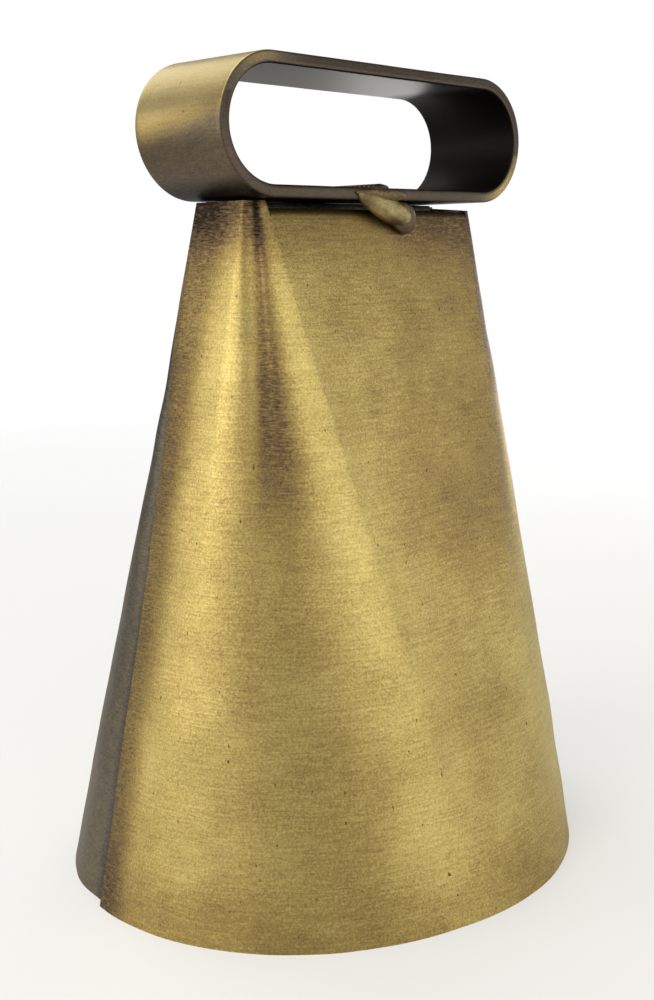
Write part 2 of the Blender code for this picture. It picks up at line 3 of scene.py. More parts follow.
import bpy
import numpy as np
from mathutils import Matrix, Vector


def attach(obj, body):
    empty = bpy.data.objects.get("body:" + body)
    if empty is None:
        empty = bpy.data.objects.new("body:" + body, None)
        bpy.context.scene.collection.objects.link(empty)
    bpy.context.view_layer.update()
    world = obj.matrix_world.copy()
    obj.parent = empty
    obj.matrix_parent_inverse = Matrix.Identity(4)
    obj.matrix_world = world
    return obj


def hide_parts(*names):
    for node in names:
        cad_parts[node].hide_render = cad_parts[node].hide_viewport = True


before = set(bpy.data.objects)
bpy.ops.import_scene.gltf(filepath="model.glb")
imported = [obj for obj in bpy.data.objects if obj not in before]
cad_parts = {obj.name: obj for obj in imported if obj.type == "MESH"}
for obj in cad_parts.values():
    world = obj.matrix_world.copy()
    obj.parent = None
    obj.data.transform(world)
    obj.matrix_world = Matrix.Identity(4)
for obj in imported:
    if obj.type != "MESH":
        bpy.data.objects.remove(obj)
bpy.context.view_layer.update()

# --- Front shell -------------------------------------------------------------------------------
# One piece of 1.2 mm steel sheet that makes the broad front, both narrow sides and a top leaf that
# is folded back over the crown. It is cut, bent by hand round a former, plated with brass,
# blackened, and rubbed back with a wire brush, so the dark finish stays in folds and along edges.
MOUTH_HALF = (0.0607, 0.0560)
CROWN_HALF = (0.0352, 0.0094)
CROWN_CORNER = 0.0030
CROWN_SHIFT = (0.0038, -0.0045)
HEIGHT = 0.1440
SHEET = 0.0012
GAP = 0.0003
BEND = 0.0016
WING_RISE = 0.0012
SIDE_FAN = 10.0
FACE_FAN = 10.0
RELIEF_ANGLE = 0.08
LEFT_FLARE = 0.0015
LEFT_RISE = 0.0014
# The left seam drifts by so many degrees of mouth angle between two heights, and the dents fade out
# between two others.
SEAM_DRIFT = 14.0
DRIFT_HEIGHTS = (0.088, 0.136)
DENT_FADE = (0.118, 0.138)
CREASE_DEPTH = 0.00034
CREASE_ANGLE = 221.0
ROW_STEP = 0.0012
COLUMN_STEP = 1.0
BEND_ROWS = 8
LEAF_ROWS = 12
EDGE_ROUND = 0.00028


def waves(points, size, seed, count=14):
    """Smooth random height, about -1 to 1: sine waves in random directions added up, their lengths
    spread round the given size in metres."""
    draw = np.random.default_rng(seed)
    directions = draw.normal(size=(count, 3))
    directions /= np.linalg.norm(directions, axis=1, keepdims=True)
    lengths = size * draw.uniform(0.7, 1.6, count)
    phases = draw.uniform(0.0, 2.0 * math.pi, count)
    turns = points @ (directions * (2.0 * math.pi / lengths)[:, None]).T + phases
    return np.sin(turns).sum(axis=-1) / math.sqrt(count)


def full_turn(count):
    """Angles in radians once round a circle."""
    return np.linspace(0.0, 2 * math.pi, count, endpoint=False)


def hump(value, centre, width):
    """Bell curve: 1 at the centre, falling to a third at one width from it."""
    return np.exp(-((value - centre) / width) ** 2)


def smooth_step(value, low, high):
    """0 below low, 1 above high, and a smooth S between."""
    share = np.clip((value - low) / (high - low), 0.0, 1.0)
    return share * share * (3.0 - 2.0 * share)


def crown_outline(angle, inset):
    """Rounded rectangle: a mouth angle within the fan of an axis lies on a flat, and the rest share
    out the quarter circle of each corner."""
    turn = np.radians(angle)
    folded = np.degrees(np.arctan2(np.abs(np.sin(turn)), np.abs(np.cos(turn))))
    half_x, half_y = CROWN_HALF[0] - inset, CROWN_HALF[1]
    arc = np.radians(90.0 * (folded - SIDE_FAN) / (90.0 - FACE_FAN - SIDE_FAN))
    on_side, on_face = folded <= SIDE_FAN, folded >= 90.0 - FACE_FAN
    x = np.where(on_side, half_x, half_x - CROWN_CORNER + CROWN_CORNER * np.cos(arc))
    x = np.where(on_face, (half_x - CROWN_CORNER) * (90.0 - folded) / FACE_FAN, x)
    y = np.where(on_face, half_y, half_y - CROWN_CORNER + CROWN_CORNER * np.sin(arc))
    y = np.where(on_side, (half_y - CROWN_CORNER) * folded / SIDE_FAN, y)
    flare = LEFT_FLARE * smooth_step(-np.cos(turn), 0.78, 0.97)
    return (np.copysign(x, np.cos(turn)) - flare + CROWN_SHIFT[0],
            np.copysign(y, np.sin(turn)) + CROWN_SHIFT[1])


def wall(angle, height, inset):
    """Straight lines from the crown's outline to the mouth's ellipse."""
    turn = np.radians(angle)
    crown_x, crown_y = crown_outline(angle, inset)
    share = 1.0 - height / HEIGHT
    x = crown_x * (1.0 - share) + (MOUTH_HALF[0] - inset) * np.cos(turn) * share
    y = crown_y * (1.0 - share) + MOUTH_HALF[1] * np.sin(turn) * share
    return np.stack([x, y, height + 0.0 * x], axis=-1)


def along_outline(angle, height, inset):
    """Short level step along the wall, anticlockwise seen from above."""
    return wall(angle + 0.05, height, inset) - wall(angle - 0.05, height, inset)


def dented(angle, height, inset):
    """The wall moved level, square to its outline, by shallow dents a tenth of a millimetre or two
    deep and by one hand-made crease at the left; none at the crown's fold."""
    place = wall(angle, height, inset)
    along = along_outline(angle, height, inset)
    out = np.stack([along[..., 1], -along[..., 0], 0.0 * height + 0.0 * angle], axis=-1)
    out /= np.linalg.norm(out, axis=-1, keepdims=True)
    fade = 1.0 - smooth_step(height, *DENT_FADE)
    push = 0.00022 * waves(place, 0.050, 3) * fade + 0.00007 * waves(place, 0.014, 4) * fade
    valley = hump(angle, CREASE_ANGLE, 5.0) * hump(height, 0.122, 0.028)
    push = push - CREASE_DEPTH * valley * (1.0 - smooth_step(height, 0.132, 0.1424))
    return place + out * push[..., None]


def level_step(angle, height, inset, depth):
    """Level step inwards that goes a depth measured square to the wall."""
    up = wall(angle, height + 0.0005, inset) - wall(angle, height - 0.0005, inset)
    normal = np.cross(along_outline(angle, height, inset), up)
    normal /= np.linalg.norm(normal, axis=-1, keepdims=True)
    level = normal * np.array([1.0, 1.0, 0.0])
    length = np.linalg.norm(level, axis=-1, keepdims=True)
    return -level / length * depth / length


def add_mesh(name, points, faces, body, smooth_angle=40.0):
    """Object at the origin from points and faces of equal length, riding on a body, and the
    numbers of the points that its faces use."""
    used, renumbered = np.unique(faces, return_inverse=True)
    mesh = bpy.data.meshes.new(name)
    mesh.from_pydata(points[used].tolist(), [], renumbered.reshape(faces.shape).tolist())
    mesh.update()
    piece = bpy.data.objects.new(name, mesh)
    bpy.context.scene.collection.objects.link(piece)
    mesh.shade_smooth()
    mesh.set_sharp_from_angle(angle=math.radians(smooth_angle))
    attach(piece, body)
    return piece, used


def store(piece, used, name, values):
    """Writes one value per point into a named attribute."""
    layer = piece.data.attributes.new(name, "FLOAT", "POINT")
    layer.data.foreach_set("value", np.asarray(values, np.float32).ravel()[used])


def closed_sheet(outer, inner, keep):
    """Points and faces of a solid from two skins on one grid: the kept cells of both, and a rim
    wherever a kept cell has no kept neighbour. A cell runs column, then row, anticlockwise from
    outside."""
    columns, rows = outer.shape[:2]
    number = np.arange(columns * rows).reshape(columns, rows)
    count = columns * rows
    corners = (number[:-1, :-1], number[1:, :-1], number[1:, 1:], number[:-1, 1:])
    skin = np.stack([c[keep] for c in corners], axis=-1)
    around = np.pad(keep, 1)
    bare = (~around[1:-1, :-2], ~around[2:, 1:-1], ~around[1:-1, 2:], ~around[:-2, 1:-1])
    rims = []
    for side in range(4):
        a, b = corners[side][keep & bare[side]], corners[(side + 1) % 4][keep & bare[side]]
        rims.append(np.stack([b, a, a + count, b + count], axis=-1))
    points = np.concatenate([outer.reshape(-1, 3), inner.reshape(-1, 3)])
    return points, np.concatenate([skin, skin[:, ::-1] + count] + rims)


def curve(first, control, last, share):
    """Quadratic curve from first to last, drawn towards control."""
    return first * (1 - share) ** 2 + control * 2 * share * (1 - share) + last * share ** 2


def spaced(*marks, step):
    """Values from the first mark to the last, no further apart than the step, each mark kept."""
    runs = [np.linspace(a, b, max(2, math.ceil((b - a) / step) + 1))[:-1] for a, b in zip(marks, marks[1:])]
    return np.concatenate(runs + [[marks[-1]]])


def seam_angle(height):
    """Where the left lap's edge runs: straight up one fold line, then round the crown's corner,
    because the front sheet was cut a little wider at its top."""
    return 180.0 - SIDE_FAN - SEAM_DRIFT * smooth_step(height, *DRIFT_HEIGHTS)


def shell(name, angles, face_centre, inset_of, top, leaf_end, edge_rise, bent=None):
    """A sheet bent round half the bell. Every column climbs the wall; the face's columns then turn
    over a fold into the level leaf, and the others end at the crown. bent moves a column's angle
    with height. Gives the piece, the points it uses, and for each point of a skin its angle, its
    height and how far over the fold it lies."""
    rows_up = spaced(0.0, top - BEND, step=ROW_STEP)
    height = rows_up[None, :] + 0.0 * angles[:, None]
    wide = bent(angles[:, None], height) if bent else angles[:, None] + 0.0 * height
    inset = inset_of(wide, height)
    outer = dented(wide, height, inset)
    inner = outer + level_step(wide, height, inset, SHEET)
    base, base_in = outer[:, -1:], inner[:, -1:]
    angle, inset = wide[:, -1:], inset[:, -1:]
    topmost = np.full_like(angle, top)
    edge = wall(angle, topmost, inset)
    edge_in = edge + level_step(angle, topmost, inset, SHEET) - np.array([0.0, 0.0, SHEET])
    inward = math.copysign(1.0, leaf_end - edge[len(angles) // 2, 0, 1])
    leaf = edge + np.array([0.0, inward * (BEND + SHEET), 0.0])
    share = np.linspace(0.0, 1.0, BEND_ROWS + 1)[1:][None, :, None]
    fold, fold_in = curve(base, edge, leaf, share), curve(base_in, edge_in, leaf - [0, 0, SHEET], share)
    along = np.linspace(0.0, 1.0, LEAF_ROWS + 1)[1:][None, :]
    flat = np.stack([leaf[..., 0] + 0.0 * along, leaf[..., 1] + (leaf_end - leaf[..., 1]) * along,
                     leaf[..., 2] + 0.0 * along], axis=-1)
    crown = wall(angle, np.full_like(angle, HEIGHT), inset)
    wing_top = HEIGHT + edge_rise(crown[..., 0], crown[..., 1])
    wing = wall(angle, wing_top, inset)
    wing_in = wing + level_step(angle, wing_top, inset, SHEET)
    on_face = np.abs(angles - face_centre) <= FACE_FAN - RELIEF_ANGLE + 1e-6
    first_fold, first_fold_in = fold[:, :1].copy(), fold_in[:, :1].copy()
    first_fold[~on_face], first_fold_in[~on_face] = wing[~on_face], wing_in[~on_face]
    outer = np.concatenate([outer, first_fold, fold[:, 1:], flat], axis=1)
    inner = np.concatenate([inner, first_fold_in, fold_in[:, 1:], flat - [0, 0, SHEET]], axis=1)
    last_wall = len(rows_up) - 1
    middle = (angles[:-1] + angles[1:]) / 2.0
    off_centre = np.abs(middle - face_centre)
    in_relief = (off_centre > FACE_FAN - RELIEF_ANGLE) & (off_centre < FACE_FAN)
    face_cell = off_centre < FACE_FAN
    row = np.arange(outer.shape[1] - 1)[None, :]
    keep = ((row < last_wall) | ((row == last_wall) & ~in_relief[:, None])
            | (face_cell & ~in_relief)[:, None])
    keep = np.broadcast_to(keep, (len(angles) - 1, outer.shape[1] - 1))
    points, faces = closed_sheet(outer, inner, keep)
    piece, used = add_mesh(name, points, faces, "bell")
    above = (len(angles), BEND_ROWS + LEAF_ROWS)
    grown = np.concatenate([height, np.full(above, top)], axis=1)
    wide = np.concatenate([wide, np.broadcast_to(angle, above)], axis=1)
    on_top = np.arange(outer.shape[1])[None, :] - last_wall + 0.0 * wide
    return piece, used, wide, grown, np.where(on_face[:, None], on_top / BEND_ROWS, 0.0)


def front_inset(angle, height):
    """The front shell is the outer skin."""
    return 0.0 * angle


def front_bent(angle, height):
    """The left side's columns spread out to reach the seam."""
    fold = 180.0 + SIDE_FAN
    stretch = (fold - seam_angle(height)) / (2 * SIDE_FAN)
    return np.where(angle < fold, fold - (fold - angle) * stretch, angle)


def front_rise(x, y):
    """The sides' top edges rise from the front corners to the back, the left one all along."""
    share = (y - CROWN_SHIFT[1] + CROWN_HALF[1]) / (2 * CROWN_HALF[1] - CROWN_CORNER)
    return np.maximum(WING_RISE * np.clip(share, 0, 1), LEFT_RISE * smooth_step(-x, 0.0255, 0.0285))


def linear(code):
    """sRGB hex to linear light, with alpha."""
    channels = [int(code[k:k + 2], 16) / 255.0 for k in (0, 2, 4)]
    return tuple(c / 12.92 if c <= 0.04045 else ((c + 0.055) / 1.055) ** 2.4 for c in channels) + (1.0,)


def add_node(tree, kind, inputs=(), **settings):
    """Adds one node. Settings are its own; each input is a value, or a socket that feeds it."""
    node = tree.nodes.new(kind)
    for key, value in settings.items():
        setattr(node, key, value)
    for key, value in dict(inputs).items():
        if isinstance(value, bpy.types.NodeSocket):
            tree.links.new(value, node.inputs[key])
        else:
            node.inputs[key].default_value = value
    return node


def calculate(tree, operation, *values):
    """One step of arithmetic on values or sockets."""
    return add_node(tree, "ShaderNodeMath", dict(enumerate(values)), operation=operation).outputs[0]


def ranged(tree, value, low, high, to_low, to_high):
    """A value between low and high mapped to between to_low and to_high."""
    return add_node(tree, "ShaderNodeMapRange", {"Value": value, "From Min": low, "From Max": high,
                                                 "To Min": to_low, "To Max": to_high}).outputs["Result"]


def stretched_noise(tree, place, sizes, detail, roughness=0.5):
    """Noise whose patches have the given sizes in metres along X, Y and Z."""
    mapped = add_node(tree, "ShaderNodeMapping", {"Vector": place, "Scale": [1 / s for s in sizes]})
    return add_node(tree, "ShaderNodeTexNoise", {"Vector": mapped.outputs["Vector"], "Scale": 1.0,
                                                 "Detail": detail, "Roughness": roughness}).outputs["Fac"]


# Colours of antique brass plate from freshly rubbed to fully blackened.
BRASS_STOPS = ((0.00, "ECE098"), (0.28, "D5C17A"), (0.50, "AE965B"), (0.72, "7C664A"), (1.00, "302824"))
BRUSH_STREAK = (0.006, 0.006, 0.00035)
INSIDE_TARNISH = 0.60


def antique_brass(name, stops, streak, roughness=0.42, grit=1.0, pits=1.0, strokes=0.7, mottle=1.0):
    """Brass plate on steel, blackened and rubbed back with a wire brush.

    To the eye: satin gold with fine brush lines, a sparkle of grit, brown in the folds, and tiny
    dark pits where the brush didn't reach. streak is the brush lines' size along X, Y and Z in
    metres. The grit is drawn at 0.45 mm and the lines at 0.35 mm, several times coarser than real.
    grit, pits, strokes and mottle scale those effects, and 0 is none.
    """
    material = bpy.data.materials.new(name)
    material.use_nodes = True
    tree = material.node_tree
    shader = tree.nodes["Principled BSDF"]
    place = add_node(tree, "ShaderNodeTexCoord").outputs["Object"]
    # The attribute read here holds the dark finish, and on the shells and strap also painted shade and
    # painted highlights.
    tarnish_and_painted_light = add_node(tree, "ShaderNodeAttribute", attribute_name="tarnish_and_painted_light").outputs["Fac"]
    grain = add_node(tree, "ShaderNodeTexNoise", {"Vector": place, "Scale": 1 / 0.00045, "Detail": 2.0,
                                                  "Roughness": 0.6}).outputs["Fac"]
    cloud = add_node(tree, "ShaderNodeTexNoise", {"Vector": place, "Scale": 1 / 0.024, "Detail": 4.0,
                                                  "Roughness": 0.62}).outputs["Fac"]
    brush = stretched_noise(tree, place, streak, 3.0, 0.55)
    # The dark finish breaks up most where it is half rubbed away.
    edge = calculate(tree, "ABSOLUTE", calculate(tree, "SUBTRACT", tarnish_and_painted_light, 0.45))
    loose = ranged(tree, edge, 0.0, 0.4, 1.5 * mottle, 0.55 * mottle)
    mixed = tarnish_and_painted_light
    for noise, amount in ((grain, 0.38), (brush, 0.22), (cloud, 0.30)):
        scaled = calculate(tree, "MULTIPLY", calculate(tree, "SUBTRACT", noise, 0.5), loose)
        mixed = calculate(tree, "MULTIPLY_ADD", scaled, amount, mixed)
    # Short strokes of the brush's ends show in the brown beside an edge.
    brown = ranged(tree, tarnish_and_painted_light, 0.52, 0.72, 0.0, strokes)
    stroke = stretched_noise(tree, place, (0.0014, 0.0014, 0.00030), 2.0)
    mixed = calculate(tree, "MULTIPLY_ADD", calculate(tree, "SUBTRACT", stroke, 0.5), brown, mixed)
    ramp = add_node(tree, "ShaderNodeValToRGB", {"Fac": mixed})
    while len(ramp.color_ramp.elements) < len(stops):
        ramp.color_ramp.elements.new(0.5)
    for element, (position, code) in zip(ramp.color_ramp.elements, stops):
        element.position, element.color = position, linear(code)
    speck = stretched_noise(tree, place, (0.0009, 0.0009, 0.0015), 1.0)
    pit = ranged(tree, speck, 0.74, 0.80, 0.0, 0.75 * pits)
    colour = add_node(tree, "ShaderNodeMix", {"Factor": pit, 6: ramp.outputs["Color"], 7: linear("2B211A")},
                      data_type="RGBA").outputs[2]
    tree.links.new(colour, shader.inputs["Base Color"])
    rough = ranged(tree, mixed, 0.0, 1.0, roughness - 0.03, roughness + 0.14)
    tree.links.new(rough, shader.inputs["Roughness"])
    lines = add_node(tree, "ShaderNodeBump", {"Height": brush, "Strength": 0.35, "Distance": 0.00006})
    bumps = add_node(tree, "ShaderNodeBump", {"Height": grain, "Strength": 0.45 * grit, "Distance": 0.00010,
                                              "Normal": lines.outputs["Normal"]})
    tree.links.new(bumps.outputs["Normal"], shader.inputs["Normal"])
    shader.inputs["Metallic"].default_value = 1.0
    return material


def wall_tarnish_and_painted_light(angle, height):
    """How dark the front shell is painted: dark finish in a fringe along both laps, a band under the
    crown's fold, a faint band over the mouth and two worn clouds on the front; a brown fold from the
    crown down the left corner, partly patina and partly a painted dark reflection; painted shade over
    the front face and a brown shoulder of painted shade high on the right, painted light low on the
    right, and two bright bands of painted highlight at the left side and the left front."""
    degree = 0.00064 + 0.00036 * (1 - height / HEIGHT)
    from_lap = np.maximum(angle - (180.0 - SIDE_FAN), 0.0) * degree
    from_lap = from_lap + np.clip(180.0 - SIDE_FAN - seam_angle(height), 0.0, SEAM_DRIFT) * 0.0001
    high_up = smooth_step(height, 0.098, 0.140)
    from_right_lap = (360.0 + SIDE_FAN - angle) * degree
    fringe = 1.0 - smooth_step(from_lap, 0.0024 + 0.0036 * high_up, 0.0104 + 0.0050 * high_up)
    right_fringe = 1.0 - smooth_step(from_right_lap, 0.0030, 0.0078)
    # The fold: partly patina in the corner, partly a painted dark reflection down it.
    fold = (smooth_step(angle, 211.0, 218.0) * (1.0 - smooth_step(angle, 224.0, 244.0))
            * (smooth_step(height, 0.070, 0.100) + 0.7 * hump(height, 0.108, 0.013)))
    pinch = hump(angle, CREASE_ANGLE, 8.0) * smooth_step(height, 0.132, 0.1425)
    left_top = smooth_step(height, 0.134, 0.144) * (1.0 - smooth_step(angle, 222.0, 240.0))
    # Painted light: lighter low on the right front.
    painted_light_low_right = hump(angle, 296.0, 16.0) * (1.0 - smooth_step(height, 0.020, 0.080))
    # The fold's lower drift: patina with a painted dark reflection.
    fold_low = hump(angle, 231.0, 7.0) * hump(height, 0.080, 0.022)
    crown = smooth_step(height, 0.1290, 0.1430)
    mouth = 1.0 - smooth_step(height, 0.002, 0.019)
    cloud = (0.7 * hump(angle, 274.0, 9.0) * hump(height, 0.080, 0.024)
             + hump(angle, 287.0, 7.0) * hump(height, 0.084, 0.020))
    # Painted shade over the upper front face.
    painted_shade_face = hump(angle, 279.0, 13.0) * smooth_step(height, 0.050, 0.110)
    # Painted highlights: two bright bands, at the left side and the left front.
    painted_highlight_bands = hump(angle, 190.0, 11.0) + hump(angle, 250.0, 12.0) * 0.9
    # Painted shade: the brown shoulder high on the right front.
    painted_shade_shoulder = hump(angle, 298.0, 15.0) * smooth_step(height, 0.084, 0.124)
    return (0.42 + 0.24 * fringe + 0.24 * right_fringe + 0.19 * fold + 0.02 * fold_low + 0.10 * pinch
            + 0.20 * crown * (1.0 - 0.5 * hump(angle, 266.0, 9.0)) + 0.12 * left_top + 0.09 * mouth
            + 0.12 * cloud + 0.05 * painted_shade_face + 0.42 * painted_shade_shoulder - 0.12 * painted_light_low_right - 0.05 * painted_highlight_bands)


front_angles = spaced(180.0 - SIDE_FAN, 270.0 - FACE_FAN, 270.0 - FACE_FAN + RELIEF_ANGLE,
                      270.0 + FACE_FAN - RELIEF_ANGLE, 270.0 + FACE_FAN, 360.0 + SIDE_FAN,
                      step=COLUMN_STEP)
rear_wall_y = CROWN_SHIFT[1] + CROWN_HALF[1]
front, used, wide, grown, folded = shell("front_sheet", front_angles, 270.0, front_inset, HEIGHT,
                                         rear_wall_y - SHEET - 2 * GAP, front_rise, front_bent)
# The leaf under the strap is painted near black: painted shade under the strap, over dark finish that the
# brush couldn't reach.
outside = wall_tarnish_and_painted_light(wide, grown) + 0.45 * smooth_step(folded, 0.5, 1.2)
store(front, used, "tarnish_and_painted_light", np.concatenate([outside.ravel(), np.full(outside.size, INSIDE_TARNISH)]))
front.data.materials.append(antique_brass("antique_brass_front", BRASS_STOPS, BRUSH_STREAK))


def round_edges(piece):
    """Takes the sharpness off the cut edges, as filing does."""
    bevel = piece.modifiers.new("filed_edges", "BEVEL")
    bevel.width, bevel.segments, bevel.limit_method = EDGE_ROUND, 2, "ANGLE"
    bevel.angle_limit = math.radians(60.0)


round_edges(front)
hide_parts("front_shell")

# --- Rear shell --------------------------------------------------------------------------------
# The same sheet, bent to the back. Its two long edges are set in by a sheet's thickness and lie
# inside the front shell's sides, and its own leaf folds forward over the front shell's leaf.
LAP_ANGLE = 8.0
JOGGLE_ANGLE = 16.0
LAP_INSET = SHEET + GAP
JOGGLE_NARROWED = 8.0
CORNER_DROP = 0.0016
# The rear shell's colours are the plate's made greyer and paler: a painted reflection of the pale surround at
# a glancing angle.
PALE_REFLECTION_BRASS_STOPS = ((0.00, "E9E0AE"), (0.28, "CCBF8C"), (0.50, "9A8D6C"), (0.72, "68625A"), (1.00, "2B2623"))


def rear_inset(angle, height):
    """Set in at the laps, and out flush over the joggle beside each, which is short at the crown."""
    left, right = seam_angle(height), SIDE_FAN
    joggle = JOGGLE_ANGLE - JOGGLE_NARROWED * smooth_step(height, *DRIFT_HEIGHTS)
    return LAP_INSET * (smooth_step(angle, left - joggle, left)
                        + 1.0 - smooth_step(angle, right, right + JOGGLE_ANGLE))


def rear_rise(x, y):
    """The rear shell's ends stand level with the back of the front shell's sides, and the left one
    drops at its corner."""
    return WING_RISE + 0.0 * y - CORNER_DROP * smooth_step(-x, 0.0300, 0.0320)


rear_angles = spaced(SIDE_FAN - LAP_ANGLE, 90.0 - FACE_FAN, 90.0 - FACE_FAN + RELIEF_ANGLE,
                     90.0 + FACE_FAN - RELIEF_ANGLE, 90.0 + FACE_FAN, 180.0 - SIDE_FAN + LAP_ANGLE,
                     step=COLUMN_STEP)
rear, used, wide, grown, folded = shell("rear_sheet", rear_angles, 90.0, rear_inset, HEIGHT + LAP_INSET,
                                        CROWN_SHIFT[1] + 0.0010, rear_rise)
by_lap = 1.0 - smooth_step(np.minimum(wide - SIDE_FAN, 180.0 - SIDE_FAN - wide), 0.0, 6.0)
rear_wear_and_shade = 0.50 + 0.22 * by_lap + 0.25 * smooth_step(grown, 0.085, 0.140) - 0.10 * hump(wide, 90.0, 30.0)
near_left = smooth_step(wide, 122.0, 150.0)
rear_wear_and_shade = rear_wear_and_shade + 0.20 * near_left - 0.06 * near_left * hump(grown, 0.0, 0.05)
# The rear leaf under the strap is painted near black too: painted shade under the strap, over dark finish the
# brush couldn't reach.
rear_wear_and_shade = rear_wear_and_shade + 0.45 * smooth_step(folded, 0.5, 1.2)
store(rear, used, "tarnish_and_painted_light", np.concatenate([rear_wear_and_shade.ravel(), np.full(rear_wear_and_shade.size, INSIDE_TARNISH)]))
rear.data.materials.append(antique_brass("antique_brass_rear", PALE_REFLECTION_BRASS_STOPS, BRUSH_STREAK,
                                         roughness=0.42, grit=0.5, strokes=0.4, mottle=0.6))
round_edges(rear)
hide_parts("rear_shell")

# --- Strap handle ------------------------------------------------------------------------------
# Flat steel bar, 25 by 2.5 mm, bent on a former into a long loop whose two ends meet in the middle
# of the bottom run. Plated and blackened with the shells, and rubbed bright only where a palm and
# the brush reach: the outside of the ends and the top, whose brightness is partly painted highlight.
# Low down the outside is painted darker, partly a real edge of the plating and partly painted shade
# over the crown.
STRAP_WIDTH = 0.0250
STRAP_THICKNESS = 0.0025
LOOP_HEIGHT = 0.0275
LOOP_HALF_STRAIGHT = 0.0337
LOOP_END = 0.0145
STRAP_BOTTOM = HEIGHT + SHEET + 2 * GAP
HANDLE = (CROWN_SHIFT[0] + 0.0007, CROWN_SHIFT[1] - 0.0005)
BUTT_HALF_GAP = 0.00008
STRAP_EDGE = 0.00045
STRAP_STOPS = ((0.00, "EFDFA4"), (0.28, "D2BE84"), (0.50, "A8925F"), (0.72, "6C6052"), (1.00, "2A2220"))
BLACK_STOPS = ((0.00, "9B9A94"), (0.28, "74726C"), (0.50, "4E4B47"), (0.72, "322F2C"), (1.00, "1A1716"))


def sweep(sections, closed_path=False):
    """Points and faces of rings of equal length joined one to the next, each ring round the line
    anticlockwise seen from ahead. An open line has a flat cap at each end, fanned from its middle."""
    count, ring = sections.shape[:2]
    number = np.arange(count * ring).reshape(count, ring)
    after = np.roll(number, -1, axis=0) if closed_path else number[1:]
    before = number if closed_path else number[:-1]
    faces = np.stack([before, np.roll(before, -1, axis=1), np.roll(after, -1, axis=1), after], axis=-1)
    points, faces = sections.reshape(-1, 3), faces.reshape(-1, 4)
    if not closed_path:
        first, last = count * ring, count * ring + 1
        points = np.concatenate([points, sections[:1].mean(axis=1), sections[-1:].mean(axis=1)])
        pairs = np.arange(0, ring, 2)
        a, b, c = number[0, pairs], number[0, pairs + 1], number[0, (pairs + 2) % ring]
        start = np.stack([np.full_like(a, first), c, b, a], axis=-1)
        a, b, c = number[-1, pairs], number[-1, pairs + 1], number[-1, (pairs + 2) % ring]
        faces = np.concatenate([faces, start, np.stack([np.full_like(a, last), a, b, c], axis=-1)])
    return points, faces


def loop_line(samples):
    """The strap's middle line seen from the front: two straight runs and two half ellipses, with
    the direction square to it that points out of the loop."""
    rise, half, reach = LOOP_HEIGHT / 2, LOOP_HALF_STRAIGHT, LOOP_END
    turn = np.radians(np.linspace(-90.0, 90.0, samples))
    run = np.linspace(BUTT_HALF_GAP, half, samples // 2)[:-1]
    top = np.linspace(half, -half, samples)[1:-1]
    thick = STRAP_THICKNESS
    lines = []
    for depth in (0.0, thick):
        right = np.stack([half + (reach - depth) * np.cos(turn), (rise - depth) * np.sin(turn)], axis=-1)
        left = -right
        lines.append(np.concatenate([
            np.stack([run, 0 * run - rise + depth], axis=-1), right,
            np.stack([top, 0 * top + rise - depth], axis=-1), left,
            np.stack([-run[::-1], 0 * run - rise + depth], axis=-1)]))
    return lines


outer_line, inner_line = loop_line(56)
half_width, corner = STRAP_WIDTH / 2, STRAP_EDGE
quarter = np.radians(np.linspace(0.0, 90.0, 5))
across = np.linspace(-half_width + corner, half_width - corner, 25)
down = np.linspace(corner, STRAP_THICKNESS - corner, 4)[1:-1]
# The section's outline: its distance across the strap, and its depth below the outer face. Its
# count of points is even, which the end caps need.
section = np.concatenate([
    np.stack([across, 0 * across], axis=-1),
    np.stack([half_width - corner + corner * np.sin(quarter), corner - corner * np.cos(quarter)], -1)[1:],
    np.stack([0 * down + half_width, down], axis=-1),
    np.stack([half_width - corner + corner * np.cos(quarter),
              STRAP_THICKNESS - corner + corner * np.sin(quarter)], -1),
    np.stack([across[::-1], 0 * across + STRAP_THICKNESS], axis=-1)[1:],
    np.stack([-half_width + corner - corner * np.sin(quarter),
              STRAP_THICKNESS - corner + corner * np.cos(quarter)], -1)[1:],
    np.stack([0 * down - half_width, down[::-1]], axis=-1),
    np.stack([-half_width + corner - corner * np.cos(quarter), corner - corner * np.sin(quarter)], -1)[:-1],
])
depth_share = (section[:, 1] / STRAP_THICKNESS)[None, :, None]
flat_loop = outer_line[:, None, :] * (1 - depth_share) + inner_line[:, None, :] * depth_share
middle = STRAP_BOTTOM + LOOP_HEIGHT / 2
rings = np.stack([HANDLE[0] + flat_loop[..., 0], HANDLE[1] + section[None, :, 0] + 0 * flat_loop[..., 0],
                  middle + flat_loop[..., 1]], axis=-1)
rings[..., 1] += 0.00012 * waves(rings, 0.020, 7) * np.abs(section[None, :, 0]) / half_width
points, faces = sweep(rings)
strap, used = add_mesh("strap", points, faces, "bell")
level = (rings[..., 2] - STRAP_BOTTOM) / LOOP_HEIGHT
across_share = np.broadcast_to(section[None, :, 0], level.shape) / half_width
inside = smooth_step(np.broadcast_to(section[None, :, 1], level.shape), 0.0016, 0.0024)
on_edge = smooth_step(np.abs(across_share), 0.968, 0.998) * (1 - inside)
sideways = (rings[..., 0] - HANDLE[0]) / (LOOP_HALF_STRAIGHT + LOOP_END)
# Darker towards the lower run: partly a real edge of the plating, partly painted shade on faces turned down;
# the lowest part is painted shade over the crown, and the lighter band below the top and lighter left end are
# painted highlight.
low_part = 1.0 - smooth_step(level + 0.09 * across_share, 0.38, 0.66)
skin = (0.34 + 0.36 * low_part + 0.30 * (1.0 - smooth_step(level, 0.02, 0.16))
        - 0.08 * hump(level, 0.86, 0.10) + 0.06 * smooth_step(sideways, 0.2, 0.8))
